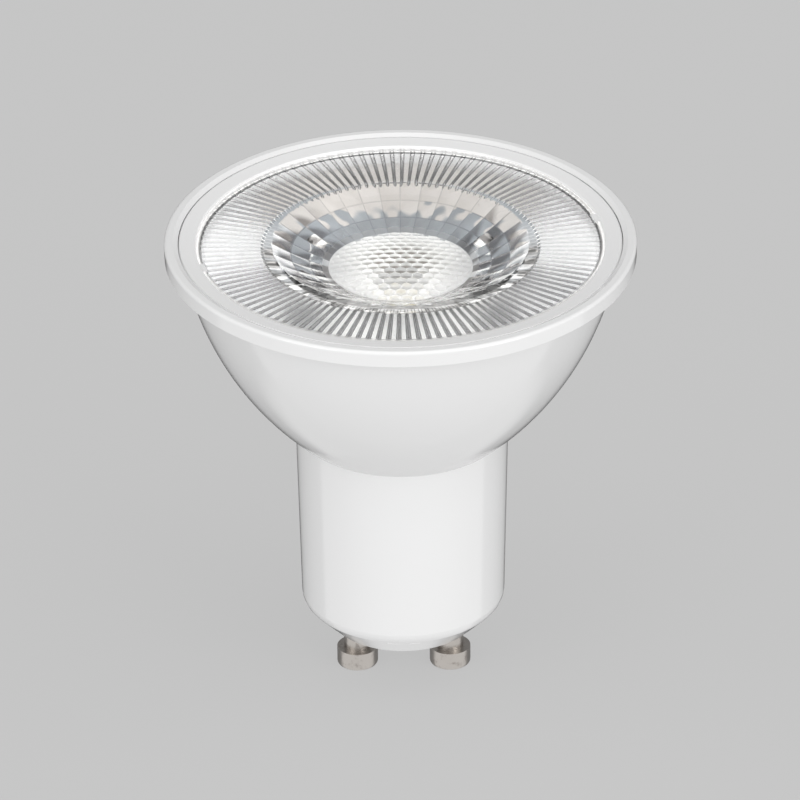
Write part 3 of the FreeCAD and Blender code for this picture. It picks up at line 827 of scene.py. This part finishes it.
def add_cells(shape):
    """Sheet of raised hexagonal cells over the dome, trimmed to its rim."""
    reach = dome_radius - cell_margin
    row_height = cell_pitch * math.sqrt(3) / 2
    rows = math.ceil(reach / row_height) + 1
    for row in range(-rows, rows + 1):
        for column in range(-rows, rows + 1):
            centre = Vector(((column + (row % 2) / 2) * cell_pitch, row * row_height, 0))
            if centre.length < reach + cell_pitch:
                bmesh.ops.create_circle(
                    shape, cap_ends=True, segments=cell_corners, radius=cell_pitch / math.sqrt(3),
                    matrix=Matrix.Translation(centre))
    bmesh.ops.remove_doubles(shape, verts=shape.verts, dist=cell_merge_distance)
    bmesh.ops.recalc_face_normals(shape, faces=shape.faces)
    for thickness, depth in cell_insets:
        cells = [face for face in shape.faces if len(face.verts) == cell_corners]
        bmesh.ops.inset_individual(shape, faces=cells, thickness=thickness * millimetre,
                                   depth=depth * millimetre, use_even_offset=True)
    for side in range(recess_columns):
        turn = full_turn * side / recess_columns
        outward = Vector((math.cos(turn), math.sin(turn), 0))
        bmesh.ops.bisect_plane(shape, geom=shape.verts[:] + shape.edges[:] + shape.faces[:],
                               plane_co=outward * reach, plane_no=outward, clear_outer=True)
    for corner in shape.verts:
        if corner.is_boundary:
            corner.co.z = 0
        corner.co.z += lens_top - recess_depth + dome_rise(math.hypot(corner.co.x, corner.co.y))


def add_box(shape, low, high):
    """Box between two corners."""
    low, high = Vector(low), Vector(high)
    made = bmesh.ops.create_cube(shape, size=1)["verts"]
    bmesh.ops.scale(shape, verts=made, vec=high - low)
    bmesh.ops.translate(shape, verts=made, vec=(low + high) / 2)
    return made


def combine(piece, other, operation):
    """Cuts a second shape from a piece or joins it on, and keeps the result as the piece's mesh."""
    mesh = bpy.data.meshes.new("tool")
    other.to_mesh(mesh)
    other.free()
    tool = bpy.data.objects.new("tool", mesh)
    bpy.context.scene.collection.objects.link(tool)
    modifier = piece.modifiers.new("combine", "BOOLEAN")
    modifier.operation = operation
    modifier.solver = "MANIFOLD"
    modifier.object = tool
    graph = bpy.context.evaluated_depsgraph_get()
    result = bpy.data.meshes.new_from_object(piece.evaluated_get(graph))
    piece.modifiers.clear()
    piece.data = result
    bpy.data.objects.remove(tool)


def make_lens(material):
    """Clear lens with ribs below, a faceted recess, a dome of hexagonal cells and three legs."""
    shape = bmesh.new()
    add_cells(shape)
    body = bmesh.new()
    turn_outline(body, lens_outline(), rib_count * steps_per_rib)
    cut_ribs(body)
    raise_facets(body)
    mesh = bpy.data.meshes.new("turned_body")
    body.to_mesh(mesh)
    body.free()
    shape.from_mesh(mesh)
    bpy.data.meshes.remove(mesh)
    gap = [edge for edge in shape.edges if edge.is_boundary]
    bmesh.ops.triangle_fill(shape, use_beauty=True, edges=gap)
    bmesh.ops.recalc_face_normals(shape, faces=shape.faces)
    piece = add_piece("clear_lens", shape, material)

    notches = bmesh.new()
    for angle in lug_angles:
        made = add_box(notches, (lens_radius - lug_reach, -lug_width / 2, lens_top - lug_thickness),
                       (lens_radius + lug_reach, lug_width / 2, lens_top + lug_thickness))
        bmesh.ops.rotate(notches, verts=made, cent=(0, 0, 0),
                         matrix=Matrix.Rotation(math.radians(angle), 3, "Z"))
    combine(piece, notches, "DIFFERENCE")

    legs = bmesh.new()
    leg_middle = (lens_foot + lens_top - recess_depth) / 2
    leg_height = lens_top - recess_depth - lens_foot
    for angle in leg_angles:
        turn = math.radians(angle)
        centre = Vector((leg_circle * math.cos(turn), leg_circle * math.sin(turn), leg_middle))
        bmesh.ops.create_cone(legs, cap_ends=True, segments=leg_sides, radius1=leg_radius,
                              radius2=leg_radius, depth=leg_height, matrix=Matrix.Translation(centre))
    combine(piece, legs, "UNION")
    piece.data.shade_smooth()
    piece.data.set_sharp_from_angle(angle=sharp_angle)
    piece.visible_shadow = False
    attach(piece, "root")
    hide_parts("lens")


add_floor()
add_camera()
add_studio()

zinc = grained("brushed_zinc", (0.55, 0.55, 0.57), (0.45, 0.46, 0.48),
               scale=1800.0, roughness=0.42, depth=0.008 * millimetre, metallic=1.0)
nickel = worn_nickel()
silicone = grained("white_silicone", (0.88, 0.88, 0.85), (0.8, 0.8, 0.77),
                   scale=700.0, roughness=0.45, depth=0.006 * millimetre)
ceramic = grained("white_ceramic", (0.9, 0.9, 0.87), (0.82, 0.82, 0.78),
                  scale=2500.0, roughness=0.5, depth=0.008 * millimetre)
phosphor = grained("yellow_phosphor", (0.95, 0.86, 0.6), (0.9, 0.78, 0.48),
                   scale=5000.0, roughness=0.35, depth=0.01 * millimetre)
ferrite = grained("ferrite", (0.1, 0.1, 0.1), (0.045, 0.045, 0.05),
                  scale=1600.0, roughness=0.6, depth=0.02 * millimetre)
finishes = {
    "housing": white_plastic("gloss_white_plastic", shade=0.84, roughness=0.11),
    "retaining_ring": white_plastic("satin_white_plastic", shade=0.86, roughness=0.36),
    "heat_sink_cup": spun_aluminium(),
    "led_board": white_mask(),
    "led_emitter": ceramic,
    "led_phosphor": phosphor,
    "board_screw_left": zinc,
    "board_screw_right": zinc,
    "contact_pin_left": nickel,
    "contact_pin_right": nickel,
    "driver_board": board_green(),
    "smoothing_capacitor": shrunk_sleeve("smoothing_capacitor"),
    "input_capacitor": shrunk_sleeve("input_capacitor"),
    "power_inductor": ferrite,
    "inductor_winding": copper_turns(),
    "fuse_resistor": banded_lacquer(),
    "bridge_rectifier": chip_moulding("bridge_rectifier"),
    "driver_chip": chip_moulding("driver_chip"),
    "pin_lead_left": silicone,
    "pin_lead_right": silicone,
    "led_lead_negative": silicone,
    "led_lead_positive": silicone,
}
for node, material in finishes.items():
    paint(node, material)
make_lens(clear_plastic())
